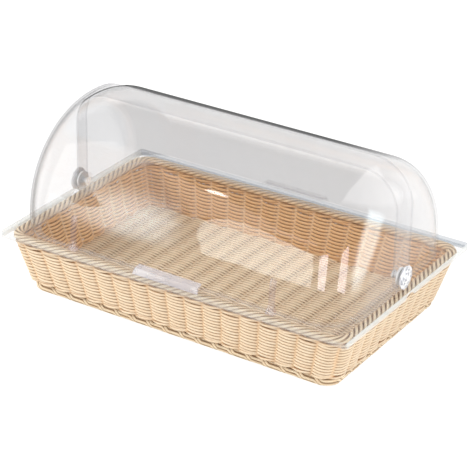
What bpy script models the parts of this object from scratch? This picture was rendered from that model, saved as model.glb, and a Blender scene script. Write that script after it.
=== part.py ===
"""Countertop bread display bin: a woven basket under a clear roll-top hood made of two shells.

Metres, +Z up. The basket stands on z = 0, its long sides run along X and its front faces -Y.
"""

import math

import bmesh
import bpy

# Running gap between pieces that touch.
GAP = 0.0003

# Hood frame: a flat clear sheet with a turned-down skirt and a wide opening.
FRAME_LENGTH = 0.530
FRAME_DEPTH = 0.325
FRAME_TOP = 0.088
FRAME_SHEET = 0.003
FRAME_SKIRT = 0.009
FRAME_CORNER = 0.004
FRAME_END_WIDTH = 0.028
FRAME_SIDE_WIDTH = 0.0215
OPENING_CORNER = 0.046

# Half-round finger notch in the skirt at the middle of each short side, with the skirt left above it.
NOTCH_RADIUS = 0.015
NOTCH_ROOF = 0.0003

# Both shells turn about one axis that runs along X above the frame. They stand this far in from its edges.
PIVOT_HEIGHT = 0.017
SHELL_END_INSET = 0.0107
SHELL_FRONT_INSET = 0.0122
SHELL_CORNER = 0.058
SHELL_WALL = 0.003
SHELL_GAP = 0.003
EDGE_CLEARANCE = 0.0005
# The strip where the shells overlap is a little narrower than their rounded ends at the pivot.
STRIP_TRIM = 0.002
HOLE_CLEARANCE = 0.00075

# Handle lip at the middle of each shell's lower edge: it overhangs the frame and slopes out to its foot.
HANDLE_LENGTH = 0.100
HANDLE_TAPER = 0.004
HANDLE_OVERHANG = 0.002
HANDLE_SLOPE = 0.0036
HANDLE_CLEARANCE = 0.001
HANDLE_LIP = 0.0086
HANDLE_ROOT_RISE = 0.001
HANDLE_SHEET = 0.0025

# Upright ribs on the front shell, flared to a foot just over the frame.
RIB_END_DISTANCE = 0.1023
RIB_WIDTH = 0.009
RIB_FOOT_WIDTH = 0.013
RIB_TOP = 0.031
RIB_THIN = 0.0012
RIB_THICK = 0.0021
RIB_FOOT = 0.0075
RIB_FLARE_HEIGHT = 0.014

# Steel studs, and the upright lugs with threaded bushes that carry them.
STUD_RADIUS = 0.0025
STUD_CLEARANCE = 0.0002
STUD_CHAMFER = 0.0005
STUD_PROUD = 0.001
INSERT_WALL = 0.0013
INSERT_FLANGE_STEP = 0.002
INSERT_FLANGE = 0.0008
LUG_THICKNESS = 0.0043
LUG_HALF_WIDTH = 0.012

# Washers between the shells' end walls and under the knobs.
SPACER_RADIUS = 0.012
WASHER_STEP = 0.0025
WASHER_THICKNESS = 0.0006

# Faceted screw knobs, just clear of the frame.
KNOB_CLEARANCE = 0.001
KNOB_BACK_STEP = 0.0025
KNOB_FACE_STEP = 0.0065
KNOB_DEPTH = 0.0055
KNOB_BACK_BEVEL = 0.0016
KNOB_FACE_BEVEL = 0.0019
KNOB_FACE_WALL = 0.002
KNOB_FACET_DIP = 0.0009

# Basket rim: a plaited rope border over a steel hoop, inside the frame's outline.
RIM_CLEARANCE = 0.004
RIM_CORNER = 0.028
RIM_WIDTH = 0.014
RIM_HEIGHT = 0.0087
ROPE_ROUND = 0.0028
WIRE_RADIUS = 0.002

# Basket wall: it leans inward from the rim to the foot, more at the ends than at the sides.
WALL_INSET = 0.0024
WALL_END_LEAN = 0.0185
WALL_SIDE_LEAN = 0.0125
WALL_LOW_CORNER = 0.025
WALL_THICKNESS = 0.0072

# The weave stands in columns, one over each pair of stakes, with a furrow on both faces between two columns.
# Places are shares of a column's width from its middle, and furrows are shares of the wall's or floor's thickness.
COLUMNS = 56
FIRST_COLUMN_SHARE = 0.28
COLUMN_PLACE_SHARES = (-0.5, -0.3, 0.0, 0.3)
WALL_FURROW_SHARE = 0.3
FLOOR_FIRST_SHARE = 0.62
FLOOR_FURROW_SHARE = 0.25
STATION_GAP_SHARE = 0.05

# Basket foot and floor.
FOOT_INSET = 0.0036
FOOT_WIDTH = 0.012
FOOT_HEIGHT = 0.013
FLOOR_THICKNESS = 0.0045

# Facet counts.
CORNER_STEPS = 9
WIRE_STEPS = 10
SHELL_STEPS = 30
SHELL_CORNER_STEPS = 7
PAD_STEPS = 8
ROUND_STEPS = 28
KNOB_FACETS = 16

# The frame's opening and notch.
OPENING_HALF_LENGTH = FRAME_LENGTH / 2 - FRAME_END_WIDTH
OPENING_HALF_DEPTH = FRAME_DEPTH / 2 - FRAME_SIDE_WIDTH
NOTCH_HEIGHT = FRAME_SKIRT - FRAME_SHEET - NOTCH_ROOF

# Plan of the basket, from the rim down.
RIM_HALF_LENGTH = FRAME_LENGTH / 2 - RIM_CLEARANCE
RIM_HALF_DEPTH = FRAME_DEPTH / 2 - RIM_CLEARANCE
WALL_TOP_HALF_LENGTH = RIM_HALF_LENGTH - WALL_INSET
WALL_TOP_HALF_DEPTH = RIM_HALF_DEPTH - WALL_INSET
WALL_TOP_CORNER = RIM_CORNER - WALL_INSET
WALL_LOW_HALF_LENGTH = WALL_TOP_HALF_LENGTH - WALL_END_LEAN
WALL_LOW_HALF_DEPTH = WALL_TOP_HALF_DEPTH - WALL_SIDE_LEAN
FOOT_HALF_LENGTH = WALL_LOW_HALF_LENGTH - FOOT_INSET
FOOT_HALF_DEPTH = WALL_LOW_HALF_DEPTH - FOOT_INSET
FOOT_CORNER = WALL_LOW_CORNER - FOOT_INSET

# Heights above the surface that the basket stands on.
PIVOT_Z = FRAME_TOP + PIVOT_HEIGHT
SHEET_BOTTOM = FRAME_TOP - FRAME_SHEET
SKIRT_BOTTOM = FRAME_TOP - FRAME_SKIRT
RIM_TOP = SHEET_BOTTOM - GAP
RIM_BOTTOM = RIM_TOP - RIM_HEIGHT
WALL_TOP = RIM_BOTTOM - GAP
WALL_BOTTOM = FOOT_HEIGHT + GAP

# The shells, each with its outer radius and half length.
SHELL_RADIUS = FRAME_DEPTH / 2 - SHELL_FRONT_INSET
SHELL_HALF_LENGTH = FRAME_LENGTH / 2 - SHELL_END_INSET
REAR_RADIUS = SHELL_RADIUS - SHELL_WALL - SHELL_GAP
REAR_HALF_LENGTH = SHELL_HALF_LENGTH - SHELL_WALL - SHELL_GAP
REAR_CORNER = SHELL_CORNER - SHELL_WALL - SHELL_GAP

# Depth of the shells' lower edges below the axis, and half the width of the strip where they overlap.
EDGE_DROP = PIVOT_HEIGHT - EDGE_CLEARANCE
STRIP_HALF = EDGE_DROP - STRIP_TRIM

# The handles' reach from the axis, and their heights below it.
HANDLE_FRONT_LOW = FRAME_DEPTH / 2 + HANDLE_OVERHANG
HANDLE_FRONT_HIGH = HANDLE_FRONT_LOW - HANDLE_SLOPE
HANDLE_FOOT_DROP = PIVOT_HEIGHT - HANDLE_CLEARANCE
HANDLE_EDGE_DROP = HANDLE_FOOT_DROP - HANDLE_LIP
HANDLE_TOP_DROP = HANDLE_EDGE_DROP - HANDLE_ROOT_RISE
RIB_OFFSET = SHELL_HALF_LENGTH - RIB_END_DISTANCE

# Radii about the pivot axis.
PIVOT_HOLE_RADIUS = STUD_RADIUS + HOLE_CLEARANCE
INSERT_RADIUS = STUD_RADIUS + STUD_CLEARANCE + INSERT_WALL
INSERT_FLANGE_RADIUS = INSERT_RADIUS + INSERT_FLANGE_STEP
KNOB_RADIUS = PIVOT_HEIGHT - KNOB_CLEARANCE
KNOB_BACK_RADIUS = KNOB_RADIUS - KNOB_BACK_STEP
KNOB_FACE_RADIUS = KNOB_RADIUS - KNOB_FACE_STEP
WASHER_RADIUS = KNOB_BACK_RADIUS - WASHER_STEP

# Stations of the pivot stack along X, from the inside to the outside of the right end.
LUG_OUTER = REAR_HALF_LENGTH - SHELL_WALL - GAP
LUG_INNER = LUG_OUTER - LUG_THICKNESS
SPACER_INNER = REAR_HALF_LENGTH + GAP
SPACER_OUTER = SHELL_HALF_LENGTH - SHELL_WALL - GAP
WASHER_INNER = SHELL_HALF_LENGTH + GAP
WASHER_OUTER = WASHER_INNER + WASHER_THICKNESS
KNOB_INNER = WASHER_OUTER + GAP
KNOB_SOCKET_FLOOR = KNOB_INNER + KNOB_DEPTH - KNOB_FACE_WALL
STUD_INNER = LUG_INNER - INSERT_FLANGE - STUD_PROUD
STUD_OUTER = KNOB_SOCKET_FLOOR - GAP


def clear_scene():
    """Removes every object the new file starts with."""
    for ob in list(bpy.data.objects):
        bpy.data.objects.remove(ob, do_unlink=True)


def material(name, color, roughness, metallic=0.0, alpha=1.0):
    """A Principled material with one colour."""
    mat = bpy.data.materials.new(name)
    mat.use_nodes = True
    shader = mat.node_tree.nodes["Principled BSDF"]
    shader.inputs["Base Color"].default_value = (*color, 1.0)
    shader.inputs["Roughness"].default_value = roughness
    shader.inputs["Metallic"].default_value = metallic
    shader.inputs["Alpha"].default_value = alpha
    return mat


def add_node(name, verts, faces, mat, crease=35.0):
    """One mesh object with its faces turned outward, round faces smooth and edges past crease degrees sharp."""
    mesh = bpy.data.meshes.new(name)
    mesh.from_pydata(verts, [], faces)
    bm = bmesh.new()
    bm.from_mesh(mesh)
    bmesh.ops.recalc_face_normals(bm, faces=bm.faces)
    bm.to_mesh(mesh)
    bm.free()
    mesh.shade_smooth()
    mesh.set_sharp_from_angle(angle=math.radians(crease))
    mesh.materials.append(mat)
    ob = bpy.data.objects.new(name, mesh)
    bpy.context.collection.objects.link(ob)
    return ob


def rounded_rect(half_x, half_y, radius, z, steps=CORNER_STEPS):
    """Points counter-clockwise around a rounded rectangle at height z."""
    points = []
    for quarter, (sx, sy) in enumerate([(1, 1), (-1, 1), (-1, -1), (1, -1)]):
        for i in range(steps + 1):
            a = math.pi / 2 * (quarter + i / steps)
            x = sx * (half_x - radius) + radius * math.cos(a)
            y = sy * (half_y - radius) + radius * math.sin(a)
            points.append((x, y, z))
    return points


def join_loops(loops, closed=True, caps=False):
    """Vertices and faces of a skin over equal loops, closed on itself or capped at both ends."""
    count = len(loops[0])
    verts = [p for loop in loops for p in loop]
    faces = []
    pairs = len(loops) if closed else len(loops) - 1
    for k in range(pairs):
        a = k * count
        b = (k + 1) % len(loops) * count
        for i in range(count):
            j = (i + 1) % count
            faces.append((a + i, a + j, b + j, b + i))
    if caps:
        faces.append(tuple(range(count)))
        faces.append(tuple(range(len(verts) - count, len(verts))))
    return verts, faces


def lathe(profile, side, steps=ROUND_STEPS):
    """A closed ring about the pivot axis from a closed profile of (x, radius), on the side +1 or -1."""
    loops = []
    for x, r in profile:
        loop = []
        for i in range(steps):
            a = 2 * math.pi * i / steps
            loop.append((side * x, r * math.cos(a), PIVOT_Z + r * math.sin(a)))
        loops.append(loop)
    return join_loops(loops)


def mirrored(group):
    """The same piece on the other side of the YZ plane."""
    verts, faces = group
    return [(-x, y, z) for x, y, z in verts], [tuple(reversed(face)) for face in faces]


def turned(group):
    """The same piece turned half a turn about Z."""
    verts, faces = group
    return [(-x, -y, z) for x, y, z in verts], faces


# The basket.


def build_foot_border(mat):
    """Rope ring that the basket stands on, with a groove on top for its hoop."""
    mid = FOOT_WIDTH / 2
    slot = WIRE_RADIUS + GAP
    depth = 2 * slot
    inner = FOOT_WIDTH
    profile = [
        (ROPE_ROUND, 0.0),
        (0.0, ROPE_ROUND),
        (0.0, FOOT_HEIGHT - ROPE_ROUND),
        (ROPE_ROUND, FOOT_HEIGHT),
        (mid - slot, FOOT_HEIGHT),
        (mid - slot, FOOT_HEIGHT - depth),
        (mid + slot, FOOT_HEIGHT - depth),
        (mid + slot, FOOT_HEIGHT),
        (inner, FOOT_HEIGHT),
        (inner, ROPE_ROUND),
        (inner - ROPE_ROUND, 0.0),
    ]
    loops = [
        rounded_rect(FOOT_HALF_LENGTH - inset, FOOT_HALF_DEPTH - inset, FOOT_CORNER - inset, z) for inset, z in profile
    ]
    add_node("foot_border", *join_loops(loops), mat)


def wire_ring(half_x, half_y, corner, z):
    """A round wire bent to a rounded rectangle."""
    loops = []
    for i in range(WIRE_STEPS):
        a = 2 * math.pi * i / WIRE_STEPS
        out = WIRE_RADIUS * math.cos(a)
        loops.append(rounded_rect(half_x + out, half_y + out, corner + out, z + WIRE_RADIUS * math.sin(a)))
    return join_loops(loops)


def build_foot_wire(mat):
    """Steel hoop lying in the foot border's groove."""
    mid = FOOT_WIDTH / 2
    z = FOOT_HEIGHT - WIRE_RADIUS - GAP
    add_node("foot_wire", *wire_ring(FOOT_HALF_LENGTH - mid, FOOT_HALF_DEPTH - mid, FOOT_CORNER - mid, z), mat)


def wall_half(z, inset):
    """Half length, half depth and corner radius of the wall at height z, moved in by inset."""
    t = (z - WALL_BOTTOM) / (WALL_TOP - WALL_BOTTOM)
    low = (WALL_LOW_HALF_LENGTH, WALL_LOW_HALF_DEPTH, WALL_LOW_CORNER)
    top = (WALL_TOP_HALF_LENGTH, WALL_TOP_HALF_DEPTH, WALL_TOP_CORNER)
    return [a + (b - a) * t - inset for a, b in zip(low, top)]


def outline_point(half_x, half_y, corner, share):
    """Point and outward direction on a rounded rectangle, at a share of the way round from the middle of its +X side."""
    flat_x = half_x - corner
    flat_y = half_y - corner
    arc = math.pi / 2 * corner
    left = share % 1.0 * (4 * flat_x + 4 * flat_y + 4 * arc) + flat_y
    for quarter in range(5):
        run = 2 * (flat_x if quarter % 2 else flat_y)
        turn = math.pi / 2 * quarter
        c, s = math.cos(turn), math.sin(turn)
        reach, side = (half_y, flat_x) if quarter % 2 else (half_x, flat_y)
        if left <= run:
            across = left - side
            return (reach * c - across * s, reach * s + across * c), (c, s)
        left -= run
        if left < arc:
            a = left / corner
            out = (math.cos(turn + a), math.sin(turn + a))
            x = (reach - corner) * c - side * s
            y = (reach - corner) * s + side * c
            return (x + corner * out[0], y + corner * out[1]), out
        left -= arc
    return (half_x, 0.0), (1.0, 0.0)


def column_loop(z, side):
    """One edge of the wall at height z, on its outer face with side +1 or its inner face with side -1."""
    loop = []
    for k in range(COLUMNS):
        for place in COLUMN_PLACE_SHARES:
            (x, y), (nx, ny) = outline_point(*wall_half(z, WALL_THICKNESS / 2), (k + FIRST_COLUMN_SHARE + place) / COLUMNS)
            furrow = WALL_FURROW_SHARE * WALL_THICKNESS if place == COLUMN_PLACE_SHARES[0] else 0.0
            out = side * (WALL_THICKNESS / 2 - furrow)
            loop.append((x + nx * out, y + ny * out, z))
    return loop


def build_side_weave(mat):
    """The tapering woven wall, one closed band all round that stands in columns."""
    loops = [column_loop(WALL_BOTTOM, 1), column_loop(WALL_TOP, 1), column_loop(WALL_TOP, -1), column_loop(WALL_BOTTOM, -1)]
    add_node("side_weave", *join_loops(loops), mat)


def floor_stations(half_x, corner, pitch):
    """Distances along X at which the floor's section changes: its furrows and crests, and its rounded corners."""
    count = int(half_x / pitch) + 2
    columns = [(k + FLOOR_FIRST_SHARE + place) * pitch for k in range(-count, count) for place in COLUMN_PLACE_SHARES if place]
    stations = [x for x in columns if abs(x) < half_x - corner * (1 - math.cos(math.pi / 4))]
    for i in range(CORNER_STEPS + 1):
        x = half_x - corner + corner * math.sin(math.pi / 2 * i / CORNER_STEPS)
        for end in (x, -x):
            if all(abs(end - other) > STATION_GAP_SHARE * pitch for other in stations):
                stations.append(end)
    return sorted(stations)


def build_base_weave(mat):
    """The woven floor, inside the foot of the wall and resting on the foot border, in columns that run along Y."""
    half_x, half_y, corner = wall_half(WALL_BOTTOM, WALL_THICKNESS + GAP)
    low_x, low_y, low_corner = wall_half(WALL_BOTTOM, WALL_THICKNESS / 2)
    pitch = (4 * (low_x + low_y) - 8 * low_corner + 2 * math.pi * low_corner) / COLUMNS
    crest = COLUMN_PLACE_SHARES[-1]
    loops = []
    for x in floor_stations(half_x, corner, pitch):
        past = max(0.0, abs(x) - half_x + corner)
        reach = half_y - corner + math.sqrt(max(0.0, corner * corner - past * past))
        off = abs((x / pitch - FLOOR_FIRST_SHARE + 0.5) % 1.0 - 0.5)
        furrow = FLOOR_FURROW_SHARE * FLOOR_THICKNESS * max(0.0, off - crest) / (0.5 - crest)
        low = WALL_BOTTOM + furrow
        top = WALL_BOTTOM + FLOOR_THICKNESS - furrow
        loops.append([(x, -reach, low), (x, reach, low), (x, reach, top), (x, -reach, top)])
    add_node("base_weave", *join_loops(loops, closed=False, caps=True), mat)


def build_top_border(mat):
    """Rope ring over the wall's top edge, grooved underneath for its hoop."""
    wall_mid = RIM_HALF_LENGTH - WALL_TOP_HALF_LENGTH + WALL_THICKNESS / 2
    slot = WIRE_RADIUS + GAP
    depth = 2 * slot
    profile = [
        (0.0, RIM_BOTTOM + ROPE_ROUND),
        (0.0, RIM_TOP - ROPE_ROUND),
        (ROPE_ROUND, RIM_TOP),
        (RIM_WIDTH - ROPE_ROUND, RIM_TOP),
        (RIM_WIDTH, RIM_TOP - ROPE_ROUND),
        (RIM_WIDTH, RIM_BOTTOM + ROPE_ROUND),
        (RIM_WIDTH - ROPE_ROUND, RIM_BOTTOM),
        (wall_mid + slot, RIM_BOTTOM),
        (wall_mid + slot, RIM_BOTTOM + depth),
        (wall_mid - slot, RIM_BOTTOM + depth),
        (wall_mid - slot, RIM_BOTTOM),
        (ROPE_ROUND, RIM_BOTTOM),
    ]
    loops = [rounded_rect(RIM_HALF_LENGTH - inset, RIM_HALF_DEPTH - inset, RIM_CORNER - inset, z) for inset, z in profile]
    add_node("top_border", *join_loops(loops), mat)


def build_rim_wire(mat):
    """Steel hoop in the groove under the top border."""
    mid = RIM_HALF_LENGTH - WALL_TOP_HALF_LENGTH + WALL_THICKNESS / 2
    z = RIM_BOTTOM + WIRE_RADIUS + GAP
    add_node("rim_wire", *wire_ring(RIM_HALF_LENGTH - mid, RIM_HALF_DEPTH - mid, RIM_CORNER - mid, z), mat)


# The hood frame.


def build_hood_frame(mat):
    """Clear sheet with a skirt around the rim, notched at the middle of each short side."""
    half_x = FRAME_LENGTH / 2
    half_y = FRAME_DEPTH / 2
    inner_corner = FRAME_CORNER - FRAME_SHEET
    loops = [
        rounded_rect(half_x, half_y, FRAME_CORNER, SKIRT_BOTTOM),
        rounded_rect(half_x, half_y, FRAME_CORNER, FRAME_TOP),
        rounded_rect(OPENING_HALF_LENGTH, OPENING_HALF_DEPTH, OPENING_CORNER, FRAME_TOP),
        rounded_rect(OPENING_HALF_LENGTH, OPENING_HALF_DEPTH, OPENING_CORNER, SHEET_BOTTOM),
        rounded_rect(half_x - FRAME_SHEET, half_y - FRAME_SHEET, inner_corner, SHEET_BOTTOM),
        rounded_rect(half_x - FRAME_SHEET, half_y - FRAME_SHEET, inner_corner, SKIRT_BOTTOM),
    ]
    frame = add_node("hood_frame", *join_loops(loops), mat)
    centre_z = SKIRT_BOTTOM + NOTCH_HEIGHT - NOTCH_RADIUS
    for side in (1, -1):
        ring = []
        for x in (half_x - FRAME_SHEET - GAP, half_x + FRAME_SHEET):
            loop = []
            for i in range(ROUND_STEPS * 2):
                a = math.pi * i / ROUND_STEPS
                loop.append((side * x, NOTCH_RADIUS * math.cos(a), centre_z + NOTCH_RADIUS * math.sin(a)))
            ring.append(loop)
        cutter = add_node(f"notch_cutter_{side}", *join_loops(ring, closed=False, caps=True), mat)
        cutter.hide_render = True
        cutter.display_type = "WIRE"
        cut = frame.modifiers.new(f"notch_{side}", "BOOLEAN")
        cut.operation = "DIFFERENCE"
        cut.solver = "EXACT"
        cut.object = cutter


def lug(side):
    """Upright plate with a round head about the pivot axis and a bore for its bush."""
    bottom = FRAME_TOP + GAP - PIVOT_Z
    outline = []
    bore = []
    for i in range(2 * ROUND_STEPS):
        a = math.pi * i / ROUND_STEPS
        c = math.cos(a)
        s = math.sin(a)
        if s >= 0:
            reach = LUG_HALF_WIDTH
        elif bottom * abs(c) >= LUG_HALF_WIDTH * s:
            reach = bottom / s
        else:
            reach = LUG_HALF_WIDTH / abs(c)
        outline.append((reach * c, reach * s))
        bore.append(((INSERT_RADIUS + GAP) * c, (INSERT_RADIUS + GAP) * s))
    loops = []
    for x, points in [(LUG_INNER, outline), (LUG_OUTER, outline), (LUG_OUTER, bore), (LUG_INNER, bore)]:
        loops.append([(side * x, y, PIVOT_Z + z) for y, z in points])
    return join_loops(loops)


def build_lugs(left_mat, right_mat):
    """Left and right pivot lugs."""
    add_node("left_pivot_lug", *lug(-1), left_mat)
    add_node("right_pivot_lug", *lug(1), right_mat)


def build_lug_inserts(left_mat, right_mat):
    """Threaded bushes in the lugs, flanged on the inside."""
    bore = STUD_RADIUS + STUD_CLEARANCE
    flange = LUG_INNER - GAP
    profile = [
        (flange - INSERT_FLANGE, bore),
        (flange - INSERT_FLANGE, INSERT_FLANGE_RADIUS),
        (flange, INSERT_FLANGE_RADIUS),
        (flange, INSERT_RADIUS),
        (LUG_OUTER, INSERT_RADIUS),
        (LUG_OUTER, bore),
    ]
    add_node("left_lug_insert", *lathe(profile, -1), left_mat)
    add_node("right_lug_insert", *lathe(profile, 1), right_mat)


# The shells.


def shell_stations(radius, half, corner):
    """Points (x, r) up the left end wall, over the crown and down the right end wall."""
    flat = radius - corner
    right = []
    for i in range(SHELL_CORNER_STEPS + 1):
        a = math.pi / 2 * i / SHELL_CORNER_STEPS
        right.append((half - corner + corner * math.sin(a), flat + corner * math.cos(a)))
    right.append((half, (flat + EDGE_DROP) / 2))
    right.append((half, EDGE_DROP))
    left = [(-x, r) for x, r in reversed(right)]
    return left + right


def shell_skin(radius, half, corner):
    """One surface of the front shell: a crown with rounded ends, cut along the strip and along the frame.

    Its end walls reach down to the pivot, where they end in a quarter round about the stud's hole.
    """
    verts = []
    faces = []
    stations = shell_stations(radius, half, corner)
    row = SHELL_STEPS + 1
    for x, r in stations:
        start = math.acos(min(1.0, STRIP_HALF / r))
        end = math.pi + math.asin(min(1.0, EDGE_DROP / r))
        for i in range(row):
            a = start + (end - start) * i / SHELL_STEPS
            verts.append((x, r * math.cos(a), PIVOT_Z + r * math.sin(a)))
    for k in range(len(stations) - 1):
        for i in range(SHELL_STEPS):
            a = k * row + i
            faces.append((a, a + 1, a + row + 1, a + row))
    for x, first in ((-half, 0), (half, (len(stations) - 1) * row)):
        ring = list(range(first, first + row))
        spread = math.acos(STRIP_HALF / EDGE_DROP)
        turns = [3 * math.pi / 2 + (math.pi / 2 - spread) * i / PAD_STEPS for i in range(1, PAD_STEPS + 1)]
        turns.append(2 * math.pi)
        for a in turns:
            reach = STRIP_HALF if a == turns[-1] else EDGE_DROP
            ring.append(len(verts))
            verts.append((x, reach * math.cos(a), PIVOT_Z + reach * math.sin(a)))
        hole = len(verts)
        for index in ring:
            a = math.atan2(verts[index][2] - PIVOT_Z, verts[index][1])
            y = PIVOT_HOLE_RADIUS * math.cos(a)
            verts.append((x, y, PIVOT_Z + PIVOT_HOLE_RADIUS * math.sin(a)))
        count = len(ring)
        for i in range(count):
            j = (i + 1) % count
            face = (ring[i], ring[j], hole + j, hole + i)
            faces.append(face if x < 0 else tuple(reversed(face)))
    return verts, faces


def front_half_shell(radius, half, corner):
    """A shell with wall thickness, reaching from just behind the crown down to the front of the frame."""
    outer, faces = shell_skin(radius, half, corner)
    inner, _ = shell_skin(radius - SHELL_WALL, half - SHELL_WALL, corner - SHELL_WALL)
    shift = len(outer)
    solid = list(faces) + [tuple(i + shift for i in reversed(face)) for face in faces]
    edges = {}
    for face in faces:
        for i, a in enumerate(face):
            b = face[(i + 1) % len(face)]
            key = (min(a, b), max(a, b))
            edges.setdefault(key, []).append((a, b))
    for found in edges.values():
        if len(found) == 1:
            a, b = found[0]
            solid.append((b, a, a + shift, b + shift))
    return outer + inner, solid


def build_shells(front_mat, rear_mat):
    """The outer front shell and the inner rear shell, each with its origin on the pivot axis."""
    front = front_half_shell(SHELL_RADIUS, SHELL_HALF_LENGTH, SHELL_CORNER)
    rear = turned(front_half_shell(REAR_RADIUS, REAR_HALF_LENGTH, REAR_CORNER))
    hang("front_shell", front, front_mat)
    hang("rear_shell", rear, rear_mat)


def hang(name, group, mat, x=0.0):
    """A node whose origin lies on the pivot axis."""
    verts, faces = group
    ob = add_node(name, [(vx - x, y, z - PIVOT_Z) for vx, y, z in verts], faces, mat)
    ob.location = (x, 0.0, PIVOT_Z)
    return ob


def handle(radius):
    """Sloping lip outside the front lower edge of a shell of this radius, its ends slightly drawn in."""
    root = radius + GAP
    top = HANDLE_TOP_DROP
    profile = [
        (root, top),
        (HANDLE_FRONT_HIGH, HANDLE_EDGE_DROP),
        (HANDLE_FRONT_LOW, HANDLE_FOOT_DROP),
        (HANDLE_FRONT_LOW - HANDLE_SHEET, HANDLE_FOOT_DROP),
        (HANDLE_FRONT_HIGH - HANDLE_SHEET, HANDLE_EDGE_DROP + HANDLE_SHEET),
        (root, top + HANDLE_SHEET),
    ]
    loops = []
    for end in (-1, 1):
        loop = []
        for out, drop in profile:
            half = HANDLE_LENGTH / 2 - HANDLE_TAPER * (HANDLE_FOOT_DROP - drop) / HANDLE_FOOT_DROP
            loop.append((end * half, -out, PIVOT_Z - drop))
        loops.append(loop)
    return join_loops(loops, closed=False, caps=True)


def build_handles(front_mat, rear_mat):
    """A lip on each shell."""
    hang("front_handle", handle(SHELL_RADIUS), front_mat)
    hang("rear_handle", turned(handle(REAR_RADIUS)), rear_mat)


def rib(x):
    """Upright strip on the front shell that thickens and widens into a foot over the frame."""
    low = -HANDLE_FOOT_DROP
    levels = [
        (RIB_TOP, RIB_WIDTH, RIB_THIN),
        (RIB_TOP * 2 / 3, RIB_WIDTH, RIB_THICK),
        (RIB_TOP / 3, RIB_WIDTH, RIB_THICK),
        (low + RIB_FLARE_HEIGHT, RIB_WIDTH, RIB_THICK),
        (low + RIB_FLARE_HEIGHT / 2, (RIB_WIDTH + RIB_FOOT_WIDTH) / 2, (RIB_THICK + RIB_FOOT) / 2),
        (low, RIB_FOOT_WIDTH, RIB_FOOT),
    ]
    loops = []
    for z, width, thick in levels:
        back = math.sqrt((SHELL_RADIUS + GAP) ** 2 - z * z)
        front = back + thick
        half = width / 2
        loops.append(
            [
                (x - half, -back, PIVOT_Z + z),
                (x + half, -back, PIVOT_Z + z),
                (x + half, -front, PIVOT_Z + z),
                (x - half, -front, PIVOT_Z + z),
            ]
        )
    return join_loops(loops, closed=False, caps=True)


def build_ribs(left_mat, right_mat):
    """The two ribs, evenly placed about the middle."""
    hang("left_rib", rib(-RIB_OFFSET), left_mat, -RIB_OFFSET)
    hang("right_rib", rib(RIB_OFFSET), right_mat, RIB_OFFSET)


# The pivots.


def build_washers(mats):
    """Spacers between the shells and washers under the knobs, one of each at both ends."""
    spacer = [
        (SPACER_INNER, PIVOT_HOLE_RADIUS),
        (SPACER_INNER, SPACER_RADIUS),
        (SPACER_OUTER, SPACER_RADIUS),
        (SPACER_OUTER, PIVOT_HOLE_RADIUS),
    ]
    washer = [
        (WASHER_INNER, PIVOT_HOLE_RADIUS),
        (WASHER_INNER, WASHER_RADIUS),
        (WASHER_OUTER, WASHER_RADIUS),
        (WASHER_OUTER, PIVOT_HOLE_RADIUS),
    ]
    add_node("left_shell_spacer", *lathe(spacer, -1), mats[0])
    add_node("right_shell_spacer", *lathe(spacer, 1), mats[1])
    add_node("left_knob_washer", *lathe(washer, -1), mats[2])
    add_node("right_knob_washer", *lathe(washer, 1), mats[3])


def knob():
    """Right-hand knob: a faceted disc with a blind socket in its back for the stud."""
    count = 2 * KNOB_FACETS
    socket = STUD_RADIUS + GAP
    rings = [
        (KNOB_SOCKET_FLOOR, socket, 0.0),
        (KNOB_INNER, socket, 0.0),
        (KNOB_INNER, KNOB_BACK_RADIUS, 0.0),
        (KNOB_INNER + KNOB_BACK_BEVEL, KNOB_RADIUS, KNOB_FACET_DIP),
        (KNOB_INNER + KNOB_DEPTH - KNOB_FACE_BEVEL, KNOB_RADIUS, -KNOB_FACET_DIP),
        (KNOB_INNER + KNOB_DEPTH, KNOB_FACE_RADIUS, 0.0),
    ]
    loops = []
    for x, r, dip in rings:
        loop = []
        for i in range(count):
            a = 2 * math.pi * i / count
            cut = max(0.0, dip) if i % 2 else max(0.0, -dip)
            loop.append((x, (r - cut) * math.cos(a), PIVOT_Z + (r - cut) * math.sin(a)))
        loops.append(loop)
    return join_loops(loops, closed=False, caps=True)


def stud():
    """Right-hand stud: a steel rod with chamfered ends."""
    low = STUD_RADIUS - STUD_CHAMFER
    profile = [
        (STUD_INNER, low),
        (STUD_INNER + STUD_CHAMFER, STUD_RADIUS),
        (STUD_OUTER - STUD_CHAMFER, STUD_RADIUS),
        (STUD_OUTER, low),
    ]
    loops = []
    for x, r in profile:
        loop = []
        for i in range(ROUND_STEPS):
            a = 2 * math.pi * i / ROUND_STEPS
            loop.append((x, r * math.cos(a), PIVOT_Z + r * math.sin(a)))
        loops.append(loop)
    return join_loops(loops, closed=False, caps=True)


def build_knobs(mats):
    """A knob and its stud at each end, with origins on the pivot axis."""
    hang("right_knob", knob(), mats[0], KNOB_INNER)
    hang("left_knob", mirrored(knob()), mats[1], -KNOB_INNER)
    hang("right_stud", stud(), mats[2], KNOB_INNER)
    hang("left_stud", mirrored(stud()), mats[3], -KNOB_INNER)


# Colours.

STRAW = (0.78, 0.58, 0.34)
TAN = (0.62, 0.40, 0.20)
STEEL = (0.62, 0.62, 0.64)
BRASS = (0.80, 0.62, 0.30)
CLEAR = (0.92, 0.93, 0.95)
LIP = (0.80, 0.80, 0.86)
NYLON = (0.90, 0.90, 0.88)

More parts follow.
